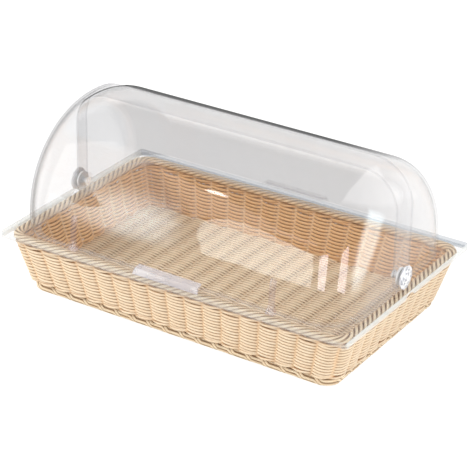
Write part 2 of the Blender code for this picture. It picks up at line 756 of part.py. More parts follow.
clear_scene()
build_foot_border(material("foot_border", STRAW, 0.6))
build_foot_wire(material("foot_wire", STEEL, 0.35, 1.0))
build_side_weave(material("side_weave", STRAW, 0.6))
build_base_weave(material("base_weave", TAN, 0.6))
build_top_border(material("top_border", STRAW, 0.6))
build_rim_wire(material("rim_wire", STEEL, 0.35, 1.0))
build_hood_frame(material("hood_frame", CLEAR, 0.08, alpha=0.35))
build_lugs(material("left_pivot_lug", CLEAR, 0.08, alpha=0.35), material("right_pivot_lug", CLEAR, 0.08, alpha=0.35))
build_lug_inserts(material("left_lug_insert", BRASS, 0.3, 1.0), material("right_lug_insert", BRASS, 0.3, 1.0))
build_shells(material("front_shell", CLEAR, 0.04, alpha=0.25), material("rear_shell", CLEAR, 0.04, alpha=0.25))
build_handles(material("front_handle", LIP, 0.1, alpha=0.5), material("rear_handle", LIP, 0.1, alpha=0.5))
build_ribs(material("left_rib", CLEAR, 0.08, alpha=0.35), material("right_rib", CLEAR, 0.08, alpha=0.35))
build_washers(
    [
        material("left_shell_spacer", NYLON, 0.4),
        material("right_shell_spacer", NYLON, 0.4),
        material("left_knob_washer", NYLON, 0.4),
        material("right_knob_washer", NYLON, 0.4),
    ]
)
build_knobs(
    [
        material("right_knob", CLEAR, 0.05, alpha=0.45),
        material("left_knob", CLEAR, 0.05, alpha=0.45),
        material("right_stud", STEEL, 0.3, 1.0),
        material("left_stud", STEEL, 0.3, 1.0),
    ]
)
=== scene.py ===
"""Looks of the countertop bread display bin: a woven basket under a clear roll-top hood."""

import math

import bmesh
import bpy
import numpy as np
from mathutils import Matrix, Vector


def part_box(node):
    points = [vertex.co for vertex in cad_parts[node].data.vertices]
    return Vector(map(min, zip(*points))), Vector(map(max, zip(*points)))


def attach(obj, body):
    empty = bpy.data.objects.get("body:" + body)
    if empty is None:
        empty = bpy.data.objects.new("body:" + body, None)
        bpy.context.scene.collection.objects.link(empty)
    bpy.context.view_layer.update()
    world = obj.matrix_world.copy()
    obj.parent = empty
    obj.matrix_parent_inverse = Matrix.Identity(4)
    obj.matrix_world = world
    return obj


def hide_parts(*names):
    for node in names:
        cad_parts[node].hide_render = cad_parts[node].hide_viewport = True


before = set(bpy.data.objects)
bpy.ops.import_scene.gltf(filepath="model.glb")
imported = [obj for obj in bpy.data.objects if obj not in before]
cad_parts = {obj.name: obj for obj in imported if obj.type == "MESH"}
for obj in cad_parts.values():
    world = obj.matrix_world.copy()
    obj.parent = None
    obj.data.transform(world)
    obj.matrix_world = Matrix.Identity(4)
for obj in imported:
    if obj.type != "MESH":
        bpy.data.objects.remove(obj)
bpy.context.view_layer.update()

# The basket's wall.
# Pairs of stakes stand all round the floor's edge. Two flat poly-rattan strands chase each other round them,
# one outside the pairs where the other is inside, so that every round lies half a step from the last.

PAIRS = 56
FIRST_PAIR = 0.28
PAIR_SPREAD = 0.0088
ROUND_RISE = 0.00242
STRAND_HALF_THICK = 0.0016
STRAND_HALF_HIGH = 0.00232
STRAND_PINCH = 0.0019
WEAVE_SWING = 0.0034
STAKE_RADIUS = 0.0015
LEAN_STEP = 0.001
WALE_HALF = 0.0021
WALE_RISE = 0.0012
WALE_CORE = 0.4
WALE_FLAT = 0.85
POINTS_A_PAIR = 8
RING_SIDES = 8
STAKE_POINTS = 5
STAKE_SIDES = 6
WALL_TOP_HALF = (0.2550, 0.1525)
WALL_LOW_HALF = (0.2365, 0.1400)
WALL_CORNER = 0.0220
wall_low, wall_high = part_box("side_weave")


def plan(half_x, half_y, corner):
    """The outline of a rounded rectangle by the share of the way round it, from the middle of +X."""
    flat_x = half_x - corner
    flat_y = half_y - corner
    arc = math.pi / 2 * corner
    sides = [flat_y, arc, 2 * flat_x, arc, 2 * flat_y, arc, 2 * flat_x, arc, flat_y]
    marks = np.concatenate([[0.0], np.cumsum(sides)])
    around = marks[-1]
    centres = [(flat_x, flat_y), (-flat_x, flat_y), (-flat_x, -flat_y), (flat_x, -flat_y)]

    def at(share):
        s = np.mod(np.asarray(share, float), 1.0) * around
        x, y = np.zeros_like(s), np.zeros_like(s)
        nx, ny = np.zeros_like(s), np.zeros_like(s)
        runs = [
            (half_x, 0.0, 0, 1),
            (flat_x, half_y, -1, 0),
            (-half_x, flat_y, 0, -1),
            (-flat_x, -half_y, 1, 0),
            (half_x, -flat_y, 0, 1),
        ]
        for k, (x0, y0, dx, dy) in enumerate(runs):
            on = (s >= marks[2 * k]) & (s <= marks[2 * k + 1])
            run = s[on] - marks[2 * k]
            x[on], y[on] = x0 + dx * run, y0 + dy * run
            nx[on], ny[on] = dy, -dx
        for k, (cx, cy) in enumerate(centres):
            on = (s > marks[2 * k + 1]) & (s < marks[2 * k + 2])
            a = math.pi / 2 * k + (s[on] - marks[2 * k + 1]) / corner
            nx[on], ny[on] = np.cos(a), np.sin(a)
            x[on], y[on] = cx + corner * nx[on], cy + corner * ny[on]
        return np.stack([x, y], -1), np.stack([nx, ny], -1)

    at.around = around
    return at


wall_plan = plan(*WALL_TOP_HALF, WALL_CORNER)


def wall_point(share, z, out):
    """Points on the leaning wall: a share of the way round, at height z, out from its middle."""
    xy, normal = wall_plan(share)
    t = (z - wall_low.z) / (wall_high.z - wall_low.z)
    for k in (0, 1):
        low, top = WALL_LOW_HALF[k], WALL_TOP_HALF[k]
        xy[..., k] = xy[..., k] * (low + (top - low) * t) / top
    xy = xy + normal * np.asarray(out)[..., None]
    return np.concatenate([xy, np.broadcast_to(z, xy.shape[:-1])[..., None]], -1)


def unit(v):
    """Directions of length 1."""
    return v / np.maximum(np.linalg.norm(v, axis=-1, keepdims=True), 1e-12)


def strand(path, side, half_wide, half_thick, closed=False, sides=RING_SIDES):
    """An oval tube along a path, wide along side: its vertices, faces and how near an edge each vertex lies."""
    ahead = unit(np.roll(path, -1, 0) - np.roll(path, 1, 0)) if closed else unit(np.gradient(path, axis=0))
    across = unit(side - (side * ahead).sum(-1, keepdims=True) * ahead)
    face = np.cross(ahead, across)
    turn = 2 * math.pi * (np.arange(sides) + 0.5) / sides
    wide = np.broadcast_to(half_wide, path.shape[:1])[:, None, None]
    thick = np.broadcast_to(half_thick, path.shape[:1])[:, None, None]
    verts = (
        path[:, None, :]
        + across[:, None, :] * wide * np.cos(turn)[None, :, None]
        + face[:, None, :] * thick * np.sin(turn)[None, :, None]
    )
    count = len(path)
    i = np.arange(count if closed else count - 1)[:, None]
    k = np.arange(sides)[None, :]
    j, m = (i + 1) % count, (k + 1) % sides
    quads = np.stack([i * sides + k, j * sides + k, j * sides + m, i * sides + m], -1).reshape(-1, 4)
    edge = np.broadcast_to(np.abs(np.cos(turn))[None, :], (count, sides))
    return verts.reshape(-1, 3), quads, edge.reshape(-1)


def up_the_wall(share, z, out):
    """The direction up the leaning wall at such points."""
    return unit(wall_point(share, z + LEAN_STEP, out) - wall_point(share, z, out))


def inner_share(wave):
    """How much painted warm shade a strand's inner side takes, where its wave is 1 outside and -1 inside."""
    return np.clip(0.5 - 1.5 * wave, 0, 1)


def piece(name, mesh, body, node):
    """A mesh as a piece that rides on a body, in place of a node of the solids."""
    ob = bpy.data.objects.new(name, mesh)
    bpy.context.collection.objects.link(ob)
    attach(ob, body)
    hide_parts(node)
    return ob


class Bundle:
    """Strands gathered into one mesh, with what the rattan's colour and its painted shade read at each point.
    """

    def __init__(self):
        self.verts, self.quads, self.marks, self.caps, self.count = [], [], [], [], 0

    def add(
        self, path, side, half_wide, half_thick, sink_shade, number, inside=0.0, closed=False, sides=RING_SIDES
    ):
        """One more strand, with its painted shade for sinking among the others, and a number of its own for its
        tone.
        """
        verts, quads, edge = strand(path, side, half_wide, half_thick, closed, sides)
        step = np.linalg.norm(np.diff(path, axis=0), axis=1)
        along = np.concatenate([[0.0], np.cumsum(step)])
        rows = len(path)
        shape = (rows, sides)
        values = (sink_shade, along, number, inside)
        marks = [np.broadcast_to(np.broadcast_to(v, (rows,))[:, None], shape) for v in values]
        self.verts.append(verts)
        self.quads.append(quads + self.count)
        self.marks.append(np.stack(marks + [edge.reshape(shape)], -1).reshape(-1, 5))
        if not closed:
            self.caps.append([self.count + k for k in range(sides)][::-1])
            self.caps.append([self.count + (rows - 1) * sides + k for k in range(sides)])
        self.count += rows * sides

    def weave(self, name, mat, body, node):
        """The strands as one piece of straw on a body, in place of the named node."""
        mesh = bpy.data.meshes.new(name)
        verts = np.concatenate(self.verts)
        faces = [tuple(q) for q in np.concatenate(self.quads).tolist()] + [tuple(c) for c in self.caps]
        mesh.from_pydata(verts.tolist(), [], faces)
        marks = np.concatenate(self.marks)
        for k, label in enumerate(("depth_shade", "along", "strand", "inside", "edge")):
            attribute = mesh.attributes.new(label, "FLOAT", "POINT")
            attribute.data.foreach_set("value", marks[:, k].astype(np.float32))
        mesh.shade_smooth()
        mesh.materials.append(mat)
        bm = bmesh.new()
        bm.from_mesh(mesh)
        bmesh.ops.recalc_face_normals(bm, faces=bm.faces)
        bm.to_mesh(mesh)
        bm.free()
        return piece(name, mesh, body, node)


class Shader:
    """A short way to lay out the nodes of a material, or of the room's light."""

    def __init__(self, name, room=False):
        self.mat = (bpy.data.worlds if room else bpy.data.materials).new(name)
        self.mat.use_nodes = True
        self.tree = self.mat.node_tree
        self.tree.nodes.clear()
        self.out = self.tree.nodes.new("ShaderNodeOutput" + ("World" if room else "Material"))

    def link(self, made, key, value):
        if isinstance(value, bpy.types.NodeSocket):
            self.tree.links.new(value, made.inputs[key])
        else:
            made.inputs[key].default_value = value

    def node(self, kind, inputs=None, **settings):
        made = self.tree.nodes.new("ShaderNode" + kind)
        for key, value in settings.items():
            setattr(made, key, value)
        for key, value in (inputs or {}).items():
            self.link(made, key, value)
        return made

    def math(self, operation, a, b=0.0, clamp=False):
        return self.node("Math", {0: a, 1: b}, operation=operation, use_clamp=clamp).outputs[0]

    def mix(self, factor, a, b, blend="MIX"):
        made = self.node("Mix", data_type="RGBA", blend_type=blend)
        for index, value in ((0, factor), (6, a), (7, b)):
            self.link(made, index, value)
        return made.outputs[2]

    def ramp(self, value, stops):
        made = self.node("ValToRGB", {0: value})
        ramp = made.color_ramp
        while len(ramp.elements) < len(stops):
            ramp.elements.new(1.0)
        for element, (place, color) in zip(ramp.elements, stops):
            element.position = place
            element.color = (*color, 1.0)
        return made.outputs[0]

    def finish(self, surface):
        self.tree.links.new(surface, self.out.inputs["Surface"])
        return self.mat


def rattan(name, pale, warm, dark, inner_bounce_tint=(0.95, 0.73, 0.50)):
    """Extruded poly-rattan: satin, grooved lengthwise, painted warm shade inside, painted shade where strands
    meet.
    """
    s = Shader(name)
    labels = ("depth_shade", "along", "edge", "strand", "inside")
    marks = [s.node("Attribute", attribute_name=label).outputs["Fac"] for label in labels]
    depth_shade, along, edge, number, inside = marks
    streaks = []
    for lengthwise, crosswise, apart, detail in ((55.0, 4.0, 7.31, 3.0), (260.0, 26.0, 3.7, 4.0)):
        lay = {"X": s.math("MULTIPLY", along, lengthwise), "Y": s.math("MULTIPLY", edge, crosswise)}
        lay["Z"] = s.math("MULTIPLY", number, apart)
        place = s.node("CombineXYZ", lay).outputs[0]
        streaks.append(s.node("TexNoise", {"Vector": place, "Scale": 1.0, "Detail": detail}).outputs["Fac"])
    tone, grain = streaks
    body = s.ramp(tone, [(0.25, warm), (0.62, pale)])
    streak = s.ramp(grain, [(0.25, (0.86, 0.82, 0.76)), (0.6, (1.0, 1.0, 1.0))])
    body = s.mix(1.0, body, streak, "MULTIPLY")
    # Painted shade: the strands' inner sides take a warm tint for light bounced inside the basket.
    body = s.mix(inside, body, s.mix(1.0, body, (*inner_bounce_tint, 1.0), "MULTIPLY"))
    # Painted shade in the creases where strands meet, and more where they sink among the others.
    groove = s.ramp(edge, [(0.54, (0.0, 0.0, 0.0)), (0.96, (1.0, 1.0, 1.0))])
    shade = s.math("ADD", s.math("MULTIPLY", groove, 0.66), s.math("MULTIPLY", depth_shade, 0.40), clamp=True)
    color = s.mix(shade, body, (*dark, 1.0))
    rough = s.math("ADD", 0.42, s.math("MULTIPLY", grain, 0.16))
    bump = s.node("Bump", {"Strength": 0.25, "Distance": 0.0004, "Height": grain})
    straw = {"Base Color": color, "Roughness": rough, "Normal": bump.outputs[0], "Specular IOR Level": 0.35}
    return s.finish(s.node("BsdfPrincipled", straw).outputs[0])


straw_wall = rattan("straw_wall", (0.90, 0.755, 0.56), (0.86, 0.665, 0.455), (0.36, 0.17, 0.07))

wall = Bundle()
wale_span = 2 * (WALE_HALF + WALE_RISE)
rounds = (wall_high.z - wall_low.z - ROUND_RISE - 2 * STRAND_HALF_HIGH) / (2 * ROUND_RISE)
for chaser in (0, 1):
    turns = np.linspace(0.0, rounds, int(rounds * PAIRS * POINTS_A_PAIR))
    wave = np.cos(math.pi * (PAIRS * turns - FIRST_PAIR + chaser))
    height = wall_low.z + STRAND_HALF_HIGH + ROUND_RISE * (2 * turns + chaser)
    under_wale = np.minimum(height - wall_low.z, wall_high.z - height) / wale_span
    full = np.clip(3.0 * (under_wale - 0.75), 0.0, 1.0)
    swing = WEAVE_SWING * (WALE_CORE + (1.0 - WALE_CORE) * full) * np.tanh(wave) / math.tanh(1)
    line = wall_point(turns, height, swing)
    lean = up_the_wall(turns, height, swing)
    open_share = np.clip((np.abs(wave) - 0.1) / 0.4, 0, 1)
    half_high = STRAND_PINCH + (STRAND_HALF_HIGH - STRAND_PINCH) * open_share
    # Painted shade: darker near the wales, lighter where the two chasers cross; inner_share gives the painted
    # warm shade of the inner side.
    sink_shade = 0.7 * (1.0 - full) - 0.5 * (1.0 - open_share)
    wall.add(line, lean, half_high, STRAND_HALF_THICK, sink_shade, chaser, inner_share(wave))

# A wale of two stouter strands, twined round each other at every pair, locks the weave at its foot and below
# the rim.

for number, middle in enumerate((wall_low.z + wale_span / 2, wall_high.z - wale_span / 2)):
    for chaser in (0, 1):
        turns = np.linspace(0.0, 1.0, PAIRS * POINTS_A_PAIR)
        phase = math.pi * (PAIRS * turns - FIRST_PAIR + chaser)
        wave = np.cos(phase)
        height = middle + WALE_RISE * np.sin(phase)
        line = wall_point(turns, height, WEAVE_SWING * wave)
        lean = up_the_wall(turns, height, WEAVE_SWING * wave)
        # Painted shade, darker where the wale's two strands cross between the pairs.
        sink_shade = 0.5 - 0.5 * np.abs(wave)
        strand_number = 10 + 2 * number + chaser
        wall.add(line, lean, WALE_HALF, WALE_HALF * WALE_FLAT, sink_shade, strand_number, inner_share(wave))
for k in range(PAIRS):
    for way in (-1, 1):
        share = np.full(STAKE_POINTS, (k + FIRST_PAIR) / PAIRS + way * PAIR_SPREAD / 2 / wall_plan.around)
        heights = np.linspace(wall_low.z, wall_high.z, STAKE_POINTS)
        stake = wall_point(share, heights, np.zeros(STAKE_POINTS))
        across = np.roll(wall_plan(share)[1], 1, -1) * (-1, 1)
        level = np.concatenate([across, np.zeros((STAKE_POINTS, 1))], -1)
        # The stakes take painted shade all along, and most of the painted warm shade of an inner side.
        wall.add(stake, level, STAKE_RADIUS, STAKE_RADIUS, 0.6, 20.0 + k, 0.8, sides=STAKE_SIDES)
wall.weave("basket_wall_weave", straw_wall, "basket", "side_weave")

# The basket's floor.
# The stakes of the long walls run on under the bread from front to back. The floor's strands cross them from
# end to end, packed as tightly as the wall's.

FLOOR_HALF = (WALL_LOW_HALF[0] + 0.0005, WALL_LOW_HALF[1] + 0.0005)
FLOOR_CORNER = 0.0205
FLOOR_RAISED = 0.0003
FLOOR_RISE = 0.0030
FLOOR_FIRST = 0.62
FLOOR_HALF_WIDE = 0.0029
FLOOR_PINCH = 0.0022
FLOOR_SWING = 0.0018
FLOOR_HALF_THICK = 0.0010
FLOOR_PITCH = wall_plan.around / PAIRS * WALL_LOW_HALF[0] / WALL_TOP_HALF[0]
FLOOR_PAIRS = 9
floor_low, floor_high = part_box("base_weave")
floor_z = (floor_low.z + floor_high.z) / 2 + FLOOR_RAISED


def floor_reach(across, half_run, half_across):
    """Half the run of a line over the floor, which is shorter where it meets a rounded corner."""
    past = max(0.0, abs(across) - (half_across - FLOOR_CORNER))
    return half_run - FLOOR_CORNER + math.sqrt(max(0.0, FLOOR_CORNER**2 - past**2))


floor_weave = Bundle()
floor_rows = int(2 * (FLOOR_HALF[1] - FLOOR_HALF_WIDE) / FLOOR_RISE)
for row in range(floor_rows):
    y = (row - (floor_rows - 1) / 2) * FLOOR_RISE
    reach = floor_reach(y, FLOOR_HALF[0], FLOOR_HALF[1])
    x = np.linspace(-reach, reach, int(2 * reach / FLOOR_PITCH * POINTS_A_PAIR))
    wave = np.cos(math.pi * (x / FLOOR_PITCH - FLOOR_FIRST + row))
    swing = np.tanh(1.2 * wave) / math.tanh(1.2)
    line = np.stack([x, np.full_like(x, y), floor_z + FLOOR_SWING * swing], -1)
    half_high = FLOOR_PINCH + (FLOOR_HALF_WIDE - FLOOR_PINCH) * np.abs(wave)
    level = np.tile((0.0, 1.0, 0.0), (len(x), 1))
    # Painted shade, darkest where each strand crosses from over the stakes to under them.
    floor_weave.add(line, level, half_high, FLOOR_HALF_THICK, 0.7 - 0.9 * np.abs(wave), row)
for k in range(-FLOOR_PAIRS, FLOOR_PAIRS + 1):
    for way in (-1, 1):
        x = (k + FLOOR_FIRST) * FLOOR_PITCH + way * PAIR_SPREAD / 2
        if abs(x) < FLOOR_HALF[0] - STAKE_RADIUS:
            reach = floor_reach(x, FLOOR_HALF[1], FLOOR_HALF[0])
            run = np.linspace(-reach, reach, STAKE_POINTS)
            line = np.stack([np.full(STAKE_POINTS, x), run, np.full(STAKE_POINTS, floor_z)], -1)
            level = np.tile((1.0, 0.0, 0.0), (STAKE_POINTS, 1))
            # The floor's stakes take painted shade all along.
            floor_weave.add(line, level, STAKE_RADIUS, FLOOR_HALF_THICK, 0.6, 200 + k, sides=STAKE_SIDES)
straw_floor = rattan("straw_floor", (0.95, 0.80, 0.58), (0.90, 0.68, 0.45), (0.28, 0.13, 0.05))
floor_weave.weave("basket_floor_weave", straw_floor, "basket", "base_weave")

# The rolled borders.
# Above the wall the stakes are bent over and laid along the rim hoop, each over the next ones, so that they
# climb from the outer edge and dive at the inner one. The foot's border turns the other way, a step a pair.

ROLL_POINTS = 2400
ROLL_SIDES = 12
PLAIT_PLACE = 0.15
RIM_STRANDS = 5
RIM_HALF_WIDE = 0.0070
RIM_CORNER = 0.021
RIM_QUARTERS = 2
FOOT_STRANDS = 6
FOOT_HALF_WIDE = 0.0060
FOOT_CORNER = 0.0154
FOOT_QUARTERS = -1
FOOT_START = -0.09


def border(node, strands, half_wide, corner, quarters, stepped, start):
    """Strands rolled round their hoop, so many quarter turns at each pair, evenly or a step at a time."""
    low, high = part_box(node)
    z, half_high = (low.z + high.z) / 2, (high.z - low.z) / 2
    bundle = Bundle()
    path = plan(high.x - half_wide, high.y - half_wide, corner)
    girth = math.pi * (half_wide + half_high)
    slope = math.atan(girth * abs(quarters) / 4 / (path.around / PAIRS) * (2 if stepped else 1))
    strand_half = girth / 2 / strands * (0.66 if stepped else 0.72 * math.cos(slope))
    strand_thick = min(strand_half * 0.85, 0.4 * half_high)
    share = np.linspace(0.0, 1.0, ROLL_POINTS)
    pairs_on = share * PAIRS - FIRST_PAIR + PLAIT_PLACE
    if stepped:
        part = np.clip(2 * np.mod(pairs_on, 1.0), 0, 1)
        pairs_on = np.floor(pairs_on) + part * part * (3 - 2 * part)
    xy, normal = path(share)
    for k in range(strands):
        turn = 2 * math.pi * k / strands + math.pi / 2 * quarters * pairs_on + start
        out = (half_wide - strand_thick) * np.cos(turn)
        up = (half_high - strand_thick) * np.sin(turn)
        line = np.concatenate([xy + normal * out[:, None], (z + up)[:, None]], -1)
        level = normal * np.cos(turn)[:, None] * half_high
        radial = np.concatenate([level, (np.sin(turn) * half_wide)[:, None]], -1)
        side = np.cross(unit(np.gradient(line, axis=0)), unit(radial))
        # Painted warm shade on the roll's inner side, and a little painted shade all over its strands.
        inside = 0.4 * np.clip(0.4 - np.cos(turn), 0, 1)
        bundle.add(line, side, strand_half, strand_thick, 0.18, k, inside, sides=ROLL_SIDES)
    # A dark core tube inside the roll, painted shade that fills the gaps between its strands; its inner side
    # takes some painted warm shade.
    upright = np.tile((0.0, 0.0, 1.0), (ROLL_POINTS - 1, 1))
    core = np.concatenate([xy[:-1], np.full((ROLL_POINTS - 1, 1), z)], -1)
    core_high, core_wide = half_high - 1.5 * strand_thick, half_wide - 1.5 * strand_thick
    bundle.add(core, upright, core_high, core_wide, 1.2, strands, 0.3, closed=True)
    return bundle


straw_border = rattan("straw_border", (0.96, 0.83, 0.61), (0.92, 0.72, 0.48), (0.30, 0.15, 0.06))
rim = border("top_border", RIM_STRANDS, RIM_HALF_WIDE, RIM_CORNER, RIM_QUARTERS, False, 0.0)
rim.weave("rim_border", straw_border, "basket", "top_border")
foot = border("foot_border", FOOT_STRANDS, FOOT_HALF_WIDE, FOOT_CORNER, FOOT_QUARTERS, True, FOOT_START)
foot.weave("foot_border_roll", straw_border, "basket", "foot_border")

# The hood's frame.
# A clear acrylic sheet with a large opening rests on the rim's border. Its edge is folded down square as a
# skirt, with sharp mitred corners and a half-round finger notch milled into each short side.

FRAME_HALF = (0.265, 0.1625)
FRAME_TOP = 0.088
SHEET = 0.003
SKIRT_LOW = 0.079
SKIRT_CORNER = 0.004
SKIRT_INNER_CORNER = 0.001
SHEET_MARGIN = 0.012
OPENING_HALF = (0.237, 0.141)
OPENING_CORNER = 0.046
OPENING_MARGIN = 0.004
NOTCH_RADIUS = 0.015
NOTCH_ROOF = 0.0847
CORNER_STEPS = 10
BACK_OF_SKIRT = 0.15


def clear_plastic(
    name, tint, edge_tint, haze, milk_color, rough, edge_from=0.9, most_gloss=1.0, bands=(), end_tint=None
):
    """Clear acrylic under a gloss. Its tint darkens towards the outline, partly for the longer path and partly
    as painted shade.
    """
    s = Shader(name)
    facing = s.node("LayerWeight", {"Blend": 0.5}).outputs["Facing"]
    coords = s.node("TexCoord").outputs["Object"]
    ripple = s.node("TexNoise", {"Vector": coords, "Scale": 14.0, "Detail": 2.0}).outputs["Fac"]
    cloud = s.node("TexNoise", {"Vector": coords, "Scale": 60.0, "Detail": 3.0}).outputs["Fac"]
    bump = s.node("Bump", {"Strength": 0.06, "Distance": 0.002, "Height": ripple}).outputs[0]
    through = s.ramp(facing, [*bands, (edge_from, tint), (edge_from + 0.07, edge_tint)])
    # Painted light: with end_tint the ends and the part below the pivots are made clearer, for the glare they
    # catch.
    if end_tint:
        place = s.node("SeparateXYZ", {0: coords}).outputs
        across = s.math("MULTIPLY", place["X"], 4.0)
        clearer = s.ramp(facing, [(0.78, end_tint), (0.95, tuple(0.9 * v for v in end_tint))])
        right_end = s.ramp(across, [(0.40, (0.0, 0.0, 0.0)), (0.93, (1.0, 1.0, 1.0))])
        left_end = s.math("MULTIPLY", s.math("LESS_THAN", across, -0.965), 0.25)
        through = s.mix(s.math("MAXIMUM", right_end, left_end), through, clearer)
        through = s.mix(s.math("LESS_THAN", place["Z"], 0.099), through, (*end_tint, 1.0))
    clear = s.node("BsdfTransparent", {"Color": through}).outputs[0]
    milk = s.node("BsdfDiffuse", {"Color": (*milk_color, 1.0), "Roughness": 0.3}).outputs[0]
    milky = s.math("MULTIPLY", s.math("ADD", 0.8, s.math("MULTIPLY", cloud, 0.4)), haze)
    body = s.node("MixShader", {0: milky, 1: clear, 2: milk}).outputs[0]
    polish = {"Color": (1.0, 1.0, 1.0, 1.0), "Roughness": rough, "Normal": bump}
    gloss = s.node("BsdfGlossy", polish).outputs[0]
    power = s.math("POWER", facing, 5.0)
    sheen = s.math("MINIMUM", s.math("ADD", 0.04, s.math("MULTIPLY", power, 0.96)), most_gloss)
    return s.finish(s.node("MixShader", {0: sheen, 1: body, 2: gloss}).outputs[0])


def solid(name, verts, faces, mats, body, slot, edge_faces=(), inner_faces=(), bevel=0.0, smooth=40.0):
    """A moulded or milled piece with its edges eased, in place of the node named by slot."""
    mesh = bpy.data.meshes.new(name)
    mesh.from_pydata([tuple(v) for v in verts], [], [tuple(f) for f in faces])
    for mat in mats:
        mesh.materials.append(mat)
    bm = bmesh.new()
    bm.from_mesh(mesh)
    bm.faces.ensure_lookup_table()
    for index in edge_faces:
        bm.faces[index].material_index = 1
    for index in inner_faces:
        bm.faces[index].material_index = 2
    bmesh.ops.recalc_face_normals(bm, faces=bm.faces)
    if bevel:
        bm.normal_update()
        sharp = [e for e in bm.edges if len(e.link_faces) == 2 and e.calc_face_angle() > math.radians(smooth)]
        bmesh.ops.bevel(
            bm, geom=sharp, offset=bevel, segments=2, profile=0.6, affect="EDGES", clamp_overlap=True
        )
    bm.to_mesh(mesh)
    bm.free()
    mesh.shade_smooth()
    mesh.set_sharp_from_angle(angle=math.radians(smooth))
    return piece(name, mesh, body, slot)


def loop_faces(count, rows, closed_rows=True):
    """Quads between rows of points that each run round, the last row joined to the first where closed."""
    faces = []
    for j in range(rows if closed_rows else rows - 1):
        k = (j + 1) % rows
        for i in range(count):
            m = (i + 1) % count
            faces.append((j * count + i, j * count + m, k * count + m, k * count + i))
    return faces


def arc_points(x, y, radius, first):
    """Points between the ends of a quarter round."""
    angles = [math.radians(first + 90 * k / CORNER_STEPS) for k in range(1, CORNER_STEPS)]
    return [(x + radius * math.cos(a), y + radius * math.sin(a)) for a in angles]


def frame_ring(half_x, half_y, corner, z):
    """One row of the frame's points: as many on each side and corner of every row, and close at the notch."""
    flat_x, flat_y = half_x - corner, half_y - corner
    notch_share = NOTCH_RADIUS / (FRAME_HALF[1] - SKIRT_CORNER)
    notch = [notch_share * math.sin(math.radians(a)) for a in range(-56, 57, 8)]
    points = []
    for side in (1, -1):
        points += [(side * half_x, side * t * flat_y) for t in [-1.0, -0.6, -0.3, *notch, 0.3, 0.6, 1.0]]
        points += arc_points(side * flat_x, side * flat_y, corner, 0 if side > 0 else 180)
        points += [(side * -k / 4 * flat_x, side * half_y) for k in range(-4, 5)]
        points += arc_points(-side * flat_x, side * flat_y, corner, 90 if side > 0 else 270)
    return [(x, y, z(x, y) if callable(z) else z) for x, y in points]


def skirt_low(x, y):
    """The skirt's lower edge, which rises over the finger notch."""
    centre = NOTCH_ROOF - NOTCH_RADIUS
    if abs(x) > FRAME_HALF[0] - 2 * SHEET and abs(y) < NOTCH_RADIUS:
        return max(SKIRT_LOW, centre + math.sqrt(NOTCH_RADIUS**2 - y**2))
    return SKIRT_LOW


frame_clear = clear_plastic(
    "frame_clear", (0.965, 0.966, 0.97), (0.80, 0.81, 0.83), 0.02, (0.92, 0.93, 0.93), 0.02, most_gloss=0.06
)
skirt_clear = clear_plastic(
    "skirt_clear", (0.945, 0.95, 0.955), (0.80, 0.81, 0.82), 0.12, (0.98, 0.98, 0.97), 0.02
)
# The back run of the skirt: the same plastic, painted darker as the shade below the overhang.
skirt_back_shade = clear_plastic(
    "skirt_back_shade", (0.70, 0.73, 0.76), (0.70, 0.72, 0.75), 0.04, (0.9, 0.92, 0.95), 0.02, most_gloss=0.1
)
# The end runs of the skirt: the same plastic, painted milky-white as the light they catch.
skirt_side_glare = clear_plastic(
    "skirt_side_glare", (0.90, 0.915, 0.915), (0.75, 0.76, 0.78), 0.45, (0.96, 0.98, 0.96), 0.02
)
frame_edge = clear_plastic(
    "frame_edge", (0.93, 0.90, 0.88), (0.80, 0.79, 0.79), 0.08, (0.95, 0.93, 0.93), 0.04
)
inner_half = (FRAME_HALF[0] - SHEET, FRAME_HALF[1] - SHEET)
flat_half = (FRAME_HALF[0] - SHEET_MARGIN, FRAME_HALF[1] - SHEET_MARGIN)
lip_half = (OPENING_HALF[0] + OPENING_MARGIN, OPENING_HALF[1] + OPENING_MARGIN)
lip_corner = OPENING_CORNER + OPENING_MARGIN
sheet_rows = [
    frame_ring(*FRAME_HALF, SKIRT_CORNER, skirt_low),
    frame_ring(*FRAME_HALF, SKIRT_CORNER, FRAME_TOP),
    frame_ring(*flat_half, SHEET_MARGIN, FRAME_TOP),
    frame_ring(*lip_half, lip_corner, FRAME_TOP),
    frame_ring(*OPENING_HALF, OPENING_CORNER, FRAME_TOP),
    frame_ring(*OPENING_HALF, OPENING_CORNER, FRAME_TOP - SHEET),
    frame_ring(*lip_half, lip_corner, FRAME_TOP - SHEET),
    frame_ring(*inner_half, SKIRT_INNER_CORNER, FRAME_TOP - SHEET),
    frame_ring(*inner_half, SKIRT_INNER_CORNER, skirt_low),
]
count = len(sheet_rows[0])
cut_edges = [*range(4 * count, 5 * count), *range(8 * count, 9 * count)]
skirt = [*range(count), *range(7 * count, 8 * count)]
sheet = solid(
    "hood_frame_sheet",
    sum(sheet_rows, []),
    loop_faces(count, len(sheet_rows)),
    [frame_clear, frame_edge, skirt_clear, skirt_side_glare, skirt_back_shade],
    "hood",
    "hood_frame",
    edge_faces=cut_edges,
    inner_faces=skirt,
    bevel=0.0005,
)
# The end runs of the skirt take the painted light and the back run the painted shade.
for face in sheet.data.polygons:
    if face.material_index == 2 and abs(face.normal.x) > 0.9:
        face.material_index = 3
    elif face.material_index == 2 and face.center.y > BACK_OF_SKIRT:
        face.material_index = 4

# The roll-top shells.
# Two thin blow-formed clear shells turn on the same pivots, the rear one nested inside the front one. Each is
# a half drum with softly rounded ends, cut square along the crown and the foot, with bright saw-cut edges.

PIVOT = 0.105
SHELL_RADIUS = 0.1503
SHELL_HALF = 0.2543
SHELL_CORNER = 0.058
NESTED = 0.006
SHELL_WALL = 0.003
EDGE_DROP = 0.0165
STRIP_HALF = 0.0145
PIVOT_HOLE = 0.00325
SHELL_STEPS = 64
CORNER_ARCS = 16
END_STEPS = 5
PAD_STEPS = 12


